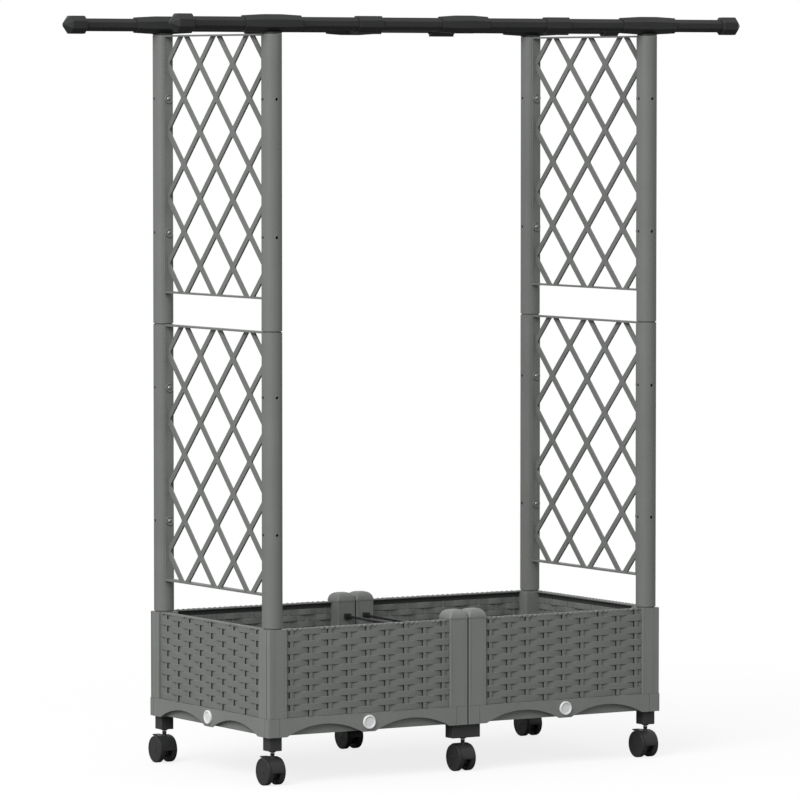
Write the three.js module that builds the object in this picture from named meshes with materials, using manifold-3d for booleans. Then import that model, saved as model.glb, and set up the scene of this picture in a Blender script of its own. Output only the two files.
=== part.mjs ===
// Planter with trellis: a two-module planter box on six twin-wheel casters, with four posts that
// carry lattice panels at both ends and an octagonal pipe frame on top.
// Millimetres, +X along the planter, +Y to the back, +Z up. The origin is on the floor under the
// middle of the planter.

import * as THREE from 'three';
import { mergeVertices } from 'three/addons/utils/BufferGeometryUtils.js';
import Module from 'manifold-3d';

// ---------------------------------------------------------------------------------------------
// Driving dimensions
// ---------------------------------------------------------------------------------------------

const fit = 0.3; // gap between two pieces that seat on or in each other
const bite = 1; // joined solids run this far into each other, and cuts this far past a face

// Planter, from the floor up
const planterLength = 830; // over the posts, along X
const planterDepth = 430; // over the posts, along Y
const moduleGap = 3; // between the two trays
const casterHeight = 61.5; // floor to the underside of the feet
const footHeight = 24.5;
const trayHeight = 33.5;
const wallHeight = 157.5; // posts and panels above the trays

// Trays
const skirtWall = 2.5;
const panSetback = 8; // from the skirt's outer face to the pan's outer face
const panWall = 2.5;
const panFloor = 3;
const panLift = 2; // the pan's underside above the skirt's lower edge
const archRise = 19.5;
const lobeWidth = 26; // between the two arches of a side, under the drain plug
const plugHeight = 17; // plug centre above the skirt's lower edge
const plugDiameter = 25.5;
const plugHeadThickness = 3.2;
const plugRimWidth = 2.6;
const plugDish = 1.4; // the plug's face inside its rim
const plugShankDiameter = 13;

// Posts, pegs and caps
const postWidth = 38; // corner posts, square
const postFillet = 3; // outer corner of a corner post
const middlePostWidth = 36.7; // along X
const pegWidth = 14; // square pegs of feet, posts and caps
const pegLength = 12;
const capOverhang = 0.7;
const capSkirt = 4;
const capDome = 12.5;
const capFlat = 0.32; // the flat on top, as a share of the cap's width

// Woven panels
const panelRecess = 3; // the lip's outer edge behind the posts' outer faces
const weaveDepth = 3.6; // the skin behind the lip's outer edge
const strandCrest = 3.3; // a strand above the skin where it bows out
const strandDip = 0.8; // and where it dips
const panelCore = 4.4; // the skin that carries the weave
const panelTongue = 4.5; // slides into the posts' grooves
const rimHeight = 2.6; // of the lip over the top row
const rimDepth = 13;
const rowCount = 14; // rows of strand
const rowGap = 0.8; // shadow line between two rows
const stakePitch = 38.9; // a strand bows out over one stake and dips under the next

// Tie rods
const rodDiameter = 5;
const rodBelowRim = 27;
const rodCollarDiameter = 11;
const rodCollarLength = 9;

// Posts' tubes
const tubeDiameter = 36.5;
const tubeWall = 2;
const tubeLength = 523; // seen length of one section
const neckLength = 24; // the drawn-in end that enters the post or the tube below
const holeDiameter = 5.6;
const lowHole = 166; // above a section's lower end
const highHole = 408;

// Trellis
const trellisGap = 57; // between a section's lower end and its trellis
const stripWidth = 17; // of the flat frame, along X
const stripThickness = 3;
const latticeWidth = 10.4;
const latticeThickness = 3.2;
const latticePitch = 120.5; // between two crossings, along Z
const latticeColumns = 3; // crossings side by side
const bossDiameter = 16;
const bossThickness = 2.4;

// Top frame
const railLength = 1200; // over the end caps
const pipeAcross = 23; // octagonal, flat to flat
const pipeWall = 2;
const teeAcross = 32; // in the middle
const socketAcross = 28; // at a connector's mouths
const socketDepth = 16;
const teeLength = 115;
const teeFlat = 34; // the thickest part of a tee
const teeRise = 2; // between the tube's top and the tee
const teePlugLength = 24;
const teeCollar = 3; // thickness of its flange on the tube
const couplerLength = 50;
const keelWidth = 8;
const keelDepth = 4;
const middleLength = 98;
const portLength = 30; // middle connector's port, from the rail's axis
const portDepth = 12;
const capAcross = 32.5;
const capLength = 43.5;
const capTipLength = 13;
const capTipAcross = 9;

// Feet
const footWidth = 25;
const middleFootLength = 59;
const footConeHeight = 3;
const footConeDiameter = 17;
const footConeTip = 9;

// Casters
const wheelDiameter = 49;
const casterWidth = 32.6; // over both wheels
const wheelGap = 14.8; // between the two wheels
const wheelEdge = 1.2; // rounded edge of the tread
const axleDiameter = 6;
const wheelTrail = 6; // wheel axis behind the swivel axis
const hoodClearance = 0.4;
const hoodThickness = 1.2;
const hoodInset = 3.3; // from a wheel's outer face to the hood's edge
const hoodFrontAngle = -3; // degrees above the axle's height where the hood ends
const hoodBackAngle = -14;
const webThickness = 8;
const webRadius = 16;
const hangerReach = 13; // half the web's upper part, along Y
const hangerBase = 9; // its lower edge above the axle
const neckDiameter = 8;
const neckHeight = 57.2; // top of the plastic neck above the floor
const pinDiameter = 5;
const pinInFoot = 16;
const brakeWidth = 10;
const brakeLength = 20;
const brakeThickness = 2; // at the pedal's tip
const brakeBarrel = 3.2;
const brakeTilt = -6; // degrees that the pedal rises to the back
const brakeSeat = 10; // hinge behind the wheel's axis
const brakeWindow = 8; // the slot in the hood under the pedal

// ---------------------------------------------------------------------------------------------
// Levels and places that follow from them
// ---------------------------------------------------------------------------------------------

const footBottom = casterHeight;
const trayBottom = footBottom + footHeight;
const trayTop = trayBottom + trayHeight;
const wallTop = trayTop + wallHeight;
const tubeJoint = wallTop + tubeLength;
const tubeTop = tubeJoint + tubeLength;
const railLevel = tubeTop + teeRise + teeAcross / 2;

const halfLength = planterLength / 2;
const halfDepth = planterDepth / 2;
const postX = halfLength - postWidth / 2;
const postY = halfDepth - postWidth / 2;
const middlePostX = moduleGap / 2 + middlePostWidth / 2;
const moduleLength = halfLength - moduleGap / 2;
const moduleX = (halfLength + moduleGap / 2) / 2;

const tubeRadius = tubeDiameter / 2;
const boreRadius = tubeRadius - tubeWall;
const neckRadius = boreRadius - fit;
const wheelRadius = wheelDiameter / 2;

// Flat sides of round pieces, and steps of arcs
const tubeSides = 16;
const boreSides = 8;
const wheelSides = 14;
const plugSides = 12;
const smallSides = 8;
const holeSides = 6;
const octagonSides = 8;
const archSteps = 6;
const filletSteps = 3;
const domeSteps = 4;
const hoodSteps = 10;
const barrelSteps = 5;

const ends = [-1, 1];
const corners = [
  { name: 'front_left', x: -1, y: -1, turn: 0 },
  { name: 'front_right', x: 1, y: -1, turn: Math.PI / 2 },
  { name: 'back_right', x: 1, y: 1, turn: Math.PI },
  { name: 'back_left', x: -1, y: 1, turn: -Math.PI / 2 },
];

// ---------------------------------------------------------------------------------------------
// Materials
// ---------------------------------------------------------------------------------------------

const grey = { color: 0x6b6e6b, roughness: 0.62, metalness: 0 };
const black = { color: 0x2e2f30, roughness: 0.5, metalness: 0 };
const wheelBlack = { color: 0x353637, roughness: 0.55, metalness: 0 };

// ---------------------------------------------------------------------------------------------
// Shape helpers
// ---------------------------------------------------------------------------------------------

const wasm = await Module();
wasm.setup();

// A closed three.js geometry as a solid that can be joined and cut.
function solid(geometry) {
  geometry.deleteAttribute('normal');
  geometry.deleteAttribute('uv');
  const merged = mergeVertices(geometry, 1e-4);
  const corner = merged.index.array;
  const triangles = [];
  for (let i = 0; i < corner.length; i += 3) {
    const [a, b, c] = corner.slice(i, i + 3);
    if (a !== b && b !== c && c !== a) triangles.push(a, b, c);
  }
  const mesh = new wasm.Mesh({
    numProp: 3,
    vertProperties: merged.attributes.position.array,
    triVerts: new Uint32Array(triangles),
  });
  return new wasm.Manifold(mesh);
}

function geometryOf(body) {
  const mesh = body.asOriginal().simplify(1e-3).getMesh();
  const geometry = new THREE.BufferGeometry();
  geometry.setAttribute('position', new THREE.BufferAttribute(mesh.vertProperties, 3));
  geometry.setIndex(new THREE.BufferAttribute(mesh.triVerts, 1));
  return geometry;
}

function joined(bodies) {
  return bodies.reduce((whole, body) => whole.add(body));
}

// A box between two limits on each axis.
function block([x0, x1], [y0, y1], [z0, z1]) {
  const geometry = new THREE.BoxGeometry(x1 - x0, y1 - y0, z1 - z0);
  geometry.translate((x0 + x1) / 2, (y0 + y1) / 2, (z0 + z1) / 2);
  return solid(geometry);
}

// A square bar upright on the Z axis.
function squareBar(width, z0, z1) {
  return block([-width / 2, width / 2], [-width / 2, width / 2], [z0, z1]);
}

// A revolved closed outline of [radius, height] points, counter-clockwise, about the Z axis.
function revolve(outline, sides) {
  const points = outline.map(([radius, height]) => new THREE.Vector2(radius, height));
  return solid(new THREE.LatheGeometry(points, sides).rotateX(Math.PI / 2));
}

function cylinder(radius, z0, z1, sides) {
  return revolve([[0, z0], [radius, z0], [radius, z1], [0, z1]], sides);
}

// The same with flat sides, as wide as across from flat to flat, and the flats facing X and Y.
function octagonal(outline) {
  const cornerRadius = 1 / Math.cos(Math.PI / octagonSides);
  const scaled = outline.map(([across, height]) => [(across / 2) * cornerRadius, height]);
  return revolve(scaled, octagonSides).rotate([0, 0, 180 / octagonSides]);
}

const alongX = (body) => body.rotate([0, 90, 0]);
const alongY = (body) => body.rotate([-90, 0, 0]);

// An outline of [a, b] points pushed along Z from 0.
function prism(outline, height) {
  const shape = new THREE.Shape(outline.map(([a, b]) => new THREE.Vector2(a, b)));
  return solid(new THREE.ExtrudeGeometry(shape, { depth: height, bevelEnabled: false }));
}

// The same outline in the XZ plane, pushed along Y from y0 to y1.
function profileXZ(outline, [y0, y1]) {
  return prism(outline, y1 - y0).rotate([90, 0, 0]).translate([0, y1, 0]);
}

// The same outline in the YZ plane, pushed along X from x0 to x1.
function profileYZ(outline, [x0, x1]) {
  return prism(outline, x1 - x0).rotate([90, 0, 90]).translate([x0, 0, 0]);
}

function arc(centre, radius, from, to, steps) {
  return Array.from({ length: steps + 1 }, (_, i) => {
    const angle = THREE.MathUtils.degToRad(from + ((to - from) * i) / steps);
    return [centre[0] + radius * Math.cos(angle), centre[1] + radius * Math.sin(angle)];
  });
}

const planter = new THREE.Group();

function add(name, geometry, look, [x, y, z] = [0, 0, 0], turn = 0, parent = planter) {
  const mesh = new THREE.Mesh(geometry, new THREE.MeshStandardMaterial(look));
  mesh.name = name;
  mesh.position.set(x, y, z);
  mesh.rotation.z = turn;
  parent.add(mesh);
}

// ---------------------------------------------------------------------------------------------
// Trays
// ---------------------------------------------------------------------------------------------

// The opening under one arch of a skirt, as an outline around the side's middle.
function archOutline(sideLength, sign) {
  const inner = lobeWidth / 2;
  const outer = sideLength / 2 - postWidth;
  const chord = outer - inner;
  const radius = (chord * chord) / (8 * archRise) + archRise / 2;
  const half = THREE.MathUtils.radToDeg(Math.asin(chord / 2 / radius));
  const centre = [(sign * (inner + outer)) / 2, archRise - radius];
  return [...arc(centre, radius, 90 - half, 90 + half, archSteps), [centre[0], -bite]];
}

function tray(side) {
  const [hx, hy] = [moduleLength / 2, halfDepth];
  const height = trayHeight - fit;
  const hollow = (inset, z0, z1) => block([inset - hx, hx - inset], [inset - hy, hy - inset], [z0, z1]);
  const panFace = panSetback + panWall;
  let body = hollow(0, 0, height)
    .subtract(hollow(skirtWall, -bite, height - panWall))
    .add(hollow(panSetback, panLift, height))
    .subtract(hollow(panFace, panLift + panFloor, height + bite));
  for (const sign of ends) {
    const across = profileXZ(archOutline(2 * hx, sign), [-hy - bite, skirtWall - hy]);
    const along = profileXZ(archOutline(2 * hy, sign), [-hx - bite, skirtWall - hx]);
    body = body
      .subtract(across)
      .subtract(across.rotate([0, 0, 180]))
      .subtract(along.rotate([0, 0, side < 0 ? -90 : 90]));
  }
  return body;
}

// The square socket blocks that take the pegs of the feet and the posts.
function traySockets(side) {
  const inner = { x: side * (middlePostX - moduleX), width: middlePostWidth };
  const outer = { x: side * (postX - moduleX), width: postWidth };
  const places = [inner, outer].flatMap((socket) => ends.map((y) => ({ ...socket, y: y * postY })));
  const blocks = places.map(({ x, y, width }) =>
    block([x - width / 2, x + width / 2], [y - postWidth / 2, y + postWidth / 2], [0, trayHeight - fit]));
  const holes = places.map(({ x, y }) =>
    squareBar(pegWidth + 2 * fit, -bite, trayHeight + bite).translate([x, y, 0]));
  return { blocks: joined(blocks), holes: joined(holes) };
}

// A drain plug through the skirt, its head at negative heights and its shank up to the pan.
const plugRadius = plugDiameter / 2;
const plug = revolve(
  [
    [0, plugDish - plugHeadThickness],
    [plugRadius - plugRimWidth - plugDish, plugDish - plugHeadThickness],
    [plugRadius - plugRimWidth, -plugHeadThickness],
    [plugRadius, -plugHeadThickness / 2],
    [plugRadius, 0],
    [plugShankDiameter / 2, 0],
    [plugShankDiameter / 2, panSetback + panWall],
    [0, panSetback + panWall],
  ],
  plugSides,
);

for (const side of ends) {
  const sockets = traySockets(side);
  const front = alongY(plug).translate([0, -halfDepth, plugHeight]);
  const outer = alongX(plug).rotate([0, 0, side < 0 ? 0 : 180]);
  const body = tray(side)
    .add(sockets.blocks)
    .subtract(sockets.holes)
    .add(front)
    .add(front.rotate([0, 0, 180]))
    .add(outer.translate([(side * moduleLength) / 2, 0, plugHeight]));
  add(side < 0 ? 'tray_left' : 'tray_right', geometryOf(body), grey, [side * moduleX, 0, trayBottom]);
}

// ---------------------------------------------------------------------------------------------
// Posts and their caps
// ---------------------------------------------------------------------------------------------

const panelFront = panelRecess + weaveDepth; // the skin's outer face behind the posts' faces
const groove = {
  from: panelFront - fit,
  to: panelFront + panelCore + fit,
  depth: panelTongue + fit,
};
const peg = squareBar(pegWidth, -pegLength, bite);

const postBore = cylinder(boreRadius, wallHeight - neckLength - bite, wallHeight + bite, boreSides)
  .rotate([0, 0, 180 / boreSides]);

// The outer corner is the rounded one, at -X, -Y.
function cornerPost() {
  const half = postWidth / 2;
  const centre = postFillet - half;
  const outline = [
    [half, -half],
    [half, half],
    [-half, half],
    ...arc([centre, centre], postFillet, 180, 270, filletSteps),
  ];
  const slot = block(
    [half - groove.depth, half + bite],
    [groove.from - half, groove.to - half],
    [fit, wallHeight + bite],
  );
  return prism(outline, wallHeight - fit)
    .subtract(slot)
    .subtract(slot.rotate([0, 0, -90]).mirror([0, 1, 0]))
    .subtract(postBore)
    .add(peg);
}

for (const { name, x, y, turn } of corners) {
  add(`corner_post_${name}`, geometryOf(cornerPost()), grey, [x * postX, y * postY, trayTop], turn);
}

// Its outer face is at -Y, and its groove is on the given side of X.
function middlePost(grooveSide) {
  const [hx, hy] = [middlePostWidth / 2, postWidth / 2];
  const slot = block(
    [hx - groove.depth, hx + bite],
    [groove.from - hy, groove.to - hy],
    [fit, wallHeight + bite],
  );
  const rodHole = alongY(cylinder(rodDiameter / 2 + fit, -pegLength, bite, smallSides));
  return block([-hx, hx], [-hy, hy], [0, wallHeight + bite])
    .subtract(grooveSide > 0 ? slot : slot.mirror([1, 0, 0]))
    .subtract(rodHole.translate([0, hy, wallHeight - rodBelowRim]))
    .add(peg)
    .add(postCap().translate([0, 0, wallHeight]));
}

// A pillow dome over a shallow square skirt.
function postCap() {
  const width = middlePostWidth + 2 * capOverhang;
  const depth = postWidth + 2 * capOverhang;
  const layers = Array.from({ length: domeSteps }, (_, i) => {
    const [low, high] = [i, i + 1].map((step) => ((step / domeSteps) * Math.PI) / 2);
    return frustum(
      [width, depth],
      [Math.max(Math.cos(low), capFlat), Math.max(Math.cos(high), capFlat)],
      [capSkirt + Math.sin(low) * capDome, capSkirt + Math.sin(high) * capDome],
    );
  });
  return joined([block([-width / 2, width / 2], [-depth / 2, depth / 2], [0, capSkirt]), ...layers]);
}

// A four-sided frustum whose two ends are shares of a width and a depth.
function frustum([width, depth], [lowShare, highShare], [z0, z1]) {
  const middle = (z0 + z1) / 2;
  const geometry = new THREE.BoxGeometry(width, depth, z1 - z0).translate(0, 0, middle);
  const position = geometry.attributes.position;
  for (let i = 0; i < position.count; i += 1) {
    const share = position.getZ(i) < middle ? lowShare : highShare;
    position.setXY(i, position.getX(i) * share, position.getY(i) * share);
  }
  return solid(geometry);
}

for (const { name, x, y } of corners) {
  const turn = y < 0 ? 0 : Math.PI;
  const place = [x * middlePostX, y * postY, trayTop];
  add(`middle_post_${name}`, geometryOf(middlePost(-x * y)), grey, place, turn);
}

// ---------------------------------------------------------------------------------------------
// Wall panels
// ---------------------------------------------------------------------------------------------

// A strand seen from above. It is proudest over its stakes, which are two pitches apart, and
// deepest at those between them, the first of which is at x = dip.
function strandOutline(half, dip) {
  const turns = [];
  const first = Math.ceil((-half - dip) / stakePitch);
  for (let i = first; dip + i * stakePitch < half; i += 1) turns.push(i);
  const bow = (steps) => {
    const away = Math.abs(THREE.MathUtils.euclideanModulo(steps + 1, 2) - 1);
    return panelFront - THREE.MathUtils.lerp(strandDip, strandCrest, away);
  };
  const point = (steps) => [dip + steps * stakePitch, bow(steps)];
  return [
    [-half, bow((-half - dip) / stakePitch)],
    ...turns.map(point),
    [half, bow((half - dip) / stakePitch)],
    [half, panelFront + bite],
    [-half, panelFront + bite],
  ];
}

// The outer face of the posts is y = 0 and the outside is -Y. The panel runs between two posts,
// and one of its stakes is at x = stake.
function panel(length, stake) {
  const half = length / 2;
  const backFace = panelFront + panelCore;
  const top = wallHeight - fit;
  const rowPitch = (top - fit) / rowCount;
  const core = block([-half - panelTongue, half + panelTongue], [panelFront, backFace], [fit, top - rimHeight]);
  const lip = block([fit - half, half - fit], [panelRecess, panelRecess + rimDepth], [top - rimHeight, top]);
  const rows = Array.from({ length: rowCount }, (_, row) => {
    const low = fit + row * rowPitch + rowGap / 2;
    const dip = stake + (row % 2 ? 0 : stakePitch);
    return prism(strandOutline(half - fit, dip), rowPitch - rowGap).translate([0, 0, low]);
  });
  return joined([core, lip, ...rows]);
}

const longPanel = postX - middlePostX - (postWidth + middlePostWidth) / 2;
const sidePanel = 2 * postY - postWidth;
const longPanelX = (postX - postWidth / 2 + middlePostX + middlePostWidth / 2) / 2;
for (const { name, x, y } of corners) {
  const turn = y < 0 ? 0 : Math.PI;
  const place = [x * longPanelX, y * halfDepth, trayTop];
  add(`panel_${name}`, geometryOf(panel(longPanel, 0)), grey, place, turn);
}
for (const side of ends) {
  const name = side < 0 ? 'panel_left' : 'panel_right';
  const turn = (side * Math.PI) / 2;
  const place = [side * halfLength, 0, trayTop];
  add(name, geometryOf(panel(sidePanel, stakePitch / 2)), grey, place, turn);
}

// ---------------------------------------------------------------------------------------------
// Tie rods
// ---------------------------------------------------------------------------------------------

const rodReach = postY - postWidth / 2; // to a middle post's inner face
const collarFace = rodReach - fit;
const rodTip = rodReach + pegLength - bite;
const rodRadius = rodDiameter / 2;
const tieRod = revolve(
  [
    [0, -rodTip],
    [rodRadius, -rodTip],
    [rodRadius, -collarFace],
    [rodCollarDiameter / 2, -collarFace],
    [rodCollarDiameter / 2, rodCollarLength - collarFace],
    [rodRadius, rodCollarLength - collarFace],
    [rodRadius, collarFace - rodCollarLength],
    [rodCollarDiameter / 2, collarFace - rodCollarLength],
    [rodCollarDiameter / 2, collarFace],
    [rodRadius, collarFace],
    [rodRadius, rodTip],
    [0, rodTip],
  ],
  smallSides,
);
for (const x of ends) {
  const place = [x * middlePostX, 0, wallTop - rodBelowRim];
  add(x < 0 ? 'tie_rod_left' : 'tie_rod_right', geometryOf(alongY(tieRod)), black, place);
}

// ---------------------------------------------------------------------------------------------
// Tubes
// ---------------------------------------------------------------------------------------------

// A section with a drawn-in neck below, drilled in its -X side and in the side at +Y or -Y.
function tube(drilledSide) {
  const facing = (body, sides) => body.rotate([0, 0, 180 / sides]);
  const outside = facing(cylinder(tubeRadius, 0, tubeLength - fit, tubeSides), tubeSides);
  const neck = facing(cylinder(neckRadius, -neckLength, bite, boreSides), boreSides);
  const bore = facing(cylinder(boreRadius, tubeWall, tubeLength, boreSides), boreSides);
  const drill = alongX(cylinder(holeDiameter / 2, -tubeDiameter, 0, holeSides));
  const drills = [lowHole, highHole].flatMap((z) =>
    [0, -90 * drilledSide].map((turn) => drill.rotate([0, 0, turn]).translate([0, 0, z])));
  return outside.add(neck).subtract(bore).subtract(joined(drills));
}

for (const { name, x, y } of corners) {
  add(`lower_tube_${name}`, geometryOf(tube(y)), grey, [x * postX, y * postY, wallTop]);
  add(`upper_tube_${name}`, geometryOf(tube(y)), grey, [x * postX, y * postY, tubeJoint]);
}

// ---------------------------------------------------------------------------------------------
// Trellis
// ---------------------------------------------------------------------------------------------

const trellisHalf = postY - tubeRadius - fit; // half the panel's width, along Y
const trellisHeight = tubeLength - trellisGap;
const bossFace = trellisHalf - stripThickness - bossThickness;

// Upright in the YZ plane, its lower edge at z = 0.
function trellis() {
  const half = trellisHalf;
  const halfStrip = stripWidth / 2;
  const inside = half - stripThickness;
  const frame = block([-halfStrip, halfStrip], [-half, half], [0, trellisHeight]).subtract(
    block([-stripWidth, stripWidth], [-inside, inside], [stripThickness, trellisHeight - stripThickness]));

  const columnPitch = (2 * half) / latticeColumns;
  const slope = Math.atan2(latticePitch, columnPitch);
  const reach = trellisHeight + 2 * half;
  const bar = block(
    [-latticeThickness / 2, latticeThickness / 2],
    [-reach, reach],
    [-latticeWidth / 2, latticeWidth / 2],
  );
  const bars = [];
  const most = Math.ceil(reach / columnPitch / 2);
  for (const lean of ends) {
    const leaning = bar.rotate([lean * THREE.MathUtils.radToDeg(slope), 0, 0]);
    for (let i = -most; i <= most; i += 1) {
      const y = (i + (latticeColumns % 2 ? 0 : 0.5)) * columnPitch;
      bars.push(leaning.translate([0, y, trellisHeight / 2]));
    }
  }
  const field = block([-stripWidth, stripWidth], [-half, half], [bite, trellisHeight - bite]);
  const lattice = joined(bars).intersect(field);

  const boss = alongY(cylinder(bossDiameter / 2, bossFace, half - bite, smallSides));
  const places = ends.flatMap((y) => [lowHole, highHole].map((z) => [y, z - trellisGap]));
  const put = (body) => joined(places.map(([y, z]) =>
    body.rotate([0, 0, y > 0 ? 0 : 180]).translate([0, 0, z])));
  return joined([frame, lattice, put(boss)]);
}

const trellisSolid = trellis();
const sections = [
  { name: 'lower', z: wallTop },
  { name: 'upper', z: tubeJoint },
];
for (const { name, z } of sections) {
  for (const side of ends) {
    const place = [side * postX, 0, z + trellisGap];
    add(`trellis_${name}_${side < 0 ? 'left' : 'right'}`, geometryOf(trellisSolid), grey, place);
  }
}

// ---------------------------------------------------------------------------------------------
// Top frame
// ---------------------------------------------------------------------------------------------

const socketBore = pipeAcross + 2 * fit;

// A sleeve along Z, thickest over its middle stretch.
function sleeve(length, mouthAcross, middleAcross, flat) {
  const half = length / 2;
  const thick = middleAcross > mouthAcross ? [[middleAcross, -flat / 2], [middleAcross, flat / 2]] : [];
  return octagonal([[0, -half], [mouthAcross, -half], ...thick, [mouthAcross, half], [0, half]]);
}

function octagonBar(across, from, to) {
  return octagonal([[0, from], [across, from], [across, to], [0, to]]);
}

// The rail's end at -X: a tee that sits on a tube with a flange and a plug into its bore, with a
// blind socket at +X, and a pipe from it to the pointed end cap.
const teeHalf = teeLength / 2;
const railEnd = postX - railLength / 2; // from the tee's middle, so negative
const teeBottom = -teeAcross / 2 - teeRise;
const teePlug = cylinder(neckRadius - fit, teeBottom - teePlugLength, 0, boreSides)
  .rotate([0, 0, 180 / boreSides])
  .add(cylinder(tubeRadius, teeBottom, teeBottom + teeCollar, tubeSides));
const outerPipe = octagonBar(pipeAcross, railEnd + capLength - bite, bite - teeHalf);
const endCap = octagonal([
  [0, railEnd],
  [capTipAcross, railEnd],
  [capAcross, railEnd + capTipLength],
  [capAcross, railEnd + capLength],
  [0, railEnd + capLength],
]);
const railEndPiece = joined([sleeve(teeLength, socketAcross, teeAcross, teeFlat), outerPipe, endCap])
  .subtract(octagonBar(socketBore, teeHalf - socketDepth, teeHalf + bite));

for (const { name, x, y } of corners) {
  const piece = alongX(railEndPiece).rotate([0, 0, x < 0 ? 0 : 180]).add(teePlug);
  add(`rail_end_${name}`, geometryOf(piece), black, [x * postX, y * postY, railLevel]);
}

// A coupler has a keel along its underside.
const coupler = alongX(sleeve(couplerLength, socketAcross, socketAcross, 0)).add(block(
  [-couplerLength / 2, couplerLength / 2],
  [-keelWidth / 2, keelWidth / 2],
  [-socketAcross / 2 - keelDepth, bite - socketAcross / 2],
));

// The rail between two tees: a pipe with a coupler on either side of the middle connector, which
// has a port towards the other rail, at +Y.
const innerReach = postX - teeHalf + socketDepth - fit;
const innerRail = joined([
  alongX(octagonBar(pipeAcross, -innerReach, innerReach)),
  ...ends.map((x) => coupler.translate([(x * postX) / 2, 0, 0])),
  alongX(sleeve(middleLength, socketAcross, teeAcross, teeFlat)),
  alongY(octagonBar(socketAcross, bite, portLength)),
]).subtract(alongY(octagonBar(socketBore, portLength - portDepth, portLength + bite)));

for (const y of ends) {
  const name = y < 0 ? 'front_rail' : 'back_rail';
  add(name, geometryOf(innerRail), black, [0, y * postY, railLevel], y < 0 ? 0 : Math.PI);
}

// The pipe from one rail's port to the other's, open inside.
const crossReach = postY - portLength + portDepth - fit;
const crossBore = pipeAcross - 2 * pipeWall;
const crossPipe = octagonal([
  [crossBore, -crossReach],
  [pipeAcross, -crossReach],
  [pipeAcross, crossReach],
  [crossBore, crossReach],
  [crossBore, -crossReach],
]);
add('cross_pipe', geometryOf(alongY(crossPipe)), black, [0, 0, railLevel]);

// ---------------------------------------------------------------------------------------------
// Feet
// ---------------------------------------------------------------------------------------------

const pinBore = cylinder(pinDiameter / 2 + fit, -footConeHeight - bite, pinInFoot + fit, smallSides);
const footCone = revolve(
  [[0, -footConeHeight], [footConeTip / 2, -footConeHeight], [footConeDiameter / 2, bite], [0, bite]],
  smallSides,
);
const footPeg = squareBar(pegWidth, bite, footHeight - fit + pegLength);

function foot(length, pegX) {
  const body = block([-length / 2, length / 2], [-footWidth / 2, footWidth / 2], [0, footHeight - fit]);
  const pegs = pegX.map((x) => footPeg.translate([x, 0, 0]));
  return joined([body, footCone, ...pegs]).subtract(pinBore);
}

for (const { name, x, y } of corners) {
  add(`foot_${name}`, geometryOf(foot(footWidth, [0])), black, [x * postX, y * postY, footBottom]);
}
for (const y of ends) {
  const name = y < 0 ? 'foot_front_middle' : 'foot_back_middle';
  const body = foot(middleFootLength, [-middlePostX, middlePostX]);
  add(name, geometryOf(body), black, [0, y * postY, footBottom]);
}

// ---------------------------------------------------------------------------------------------
// Casters: the swivel axis is x = 0, y = 0, and the wheels trail it to +Y
// ---------------------------------------------------------------------------------------------

const axle = [0, wheelTrail, wheelRadius];
const hoodInner = wheelRadius + hoodClearance;
const hoodOuter = hoodInner + hoodThickness;
const hoodHalf = casterWidth / 2 - hoodInset;
const barrelY = wheelTrail + brakeSeat;
const barrelZ = wheelRadius + Math.sqrt(hoodInner ** 2 - brakeSeat ** 2) + brakeBarrel / 2;

function casterBody(braked) {
  const turned = (angle) => 180 - angle;
  const shell = profileYZ(
    [
      ...arc([axle[1], axle[2]], hoodOuter, hoodBackAngle, turned(hoodFrontAngle), hoodSteps),
      ...arc([axle[1], axle[2]], hoodInner, turned(hoodFrontAngle), hoodBackAngle, hoodSteps),
    ],
    [-hoodHalf, hoodHalf],
  );
  const web = alongX(cylinder(webRadius, -webThickness / 2, webThickness / 2, boreSides))
    .translate(axle)
    .add(block(
      [-webThickness / 2, webThickness / 2],
      [axle[1] - hangerReach, axle[1] + hangerReach],
      [axle[2] + hangerBase, axle[2] + Math.sqrt(hoodInner ** 2 - hangerReach ** 2) + bite],
    ));
  const neckStart = wheelRadius + Math.sqrt(hoodInner ** 2 - (wheelTrail + neckDiameter / 2) ** 2);
  const neck = cylinder(neckDiameter / 2, neckStart, neckHeight, smallSides);
  const pin = cylinder(pinDiameter / 2, neckHeight - bite, footBottom + pinInFoot, smallSides);
  const axleHole = alongX(cylinder(axleDiameter / 2 + fit, -webThickness, webThickness, smallSides))
    .translate(axle);
  const body = joined([shell, web, neck, pin]).subtract(axleHole);
  if (!braked) return body;
  return body.subtract(block(
    [-brakeWidth / 2 - fit, brakeWidth / 2 + fit],
    [barrelY - brakeBarrel / 2 - fit, barrelY + brakeWindow],
    [barrelZ - brakeWindow, barrelZ + brakeBarrel],
  ));
}

// Two wheels on one axle, as one revolved piece.
const wheelHalf = casterWidth / 2;
const innerFace = wheelGap / 2;
const wheelSide = [
  [0, wheelHalf],
  [wheelRadius - wheelEdge, wheelHalf],
  [wheelRadius, wheelHalf - wheelEdge],
  [wheelRadius, innerFace + wheelEdge],
  [wheelRadius - wheelEdge, innerFace],
  [axleDiameter / 2, innerFace],
];
const wheelPair = alongX(revolve(
  [...wheelSide.map(([radius, x]) => [radius, -x]), ...wheelSide.slice().reverse()],
  wheelSides,
));

// The pedal, with its barrel at the hinge's axis.
function brakeLever() {
  const radius = brakeBarrel / 2;
  const outline = [
    ...arc([0, 0], radius, 90, 270, barrelSteps),
    [brakeLength, radius - brakeThickness],
    [brakeLength, radius],
  ];
  return profileYZ(outline, [-brakeWidth / 2, brakeWidth / 2]).rotate([brakeTilt, 0, 0]);
}

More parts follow.
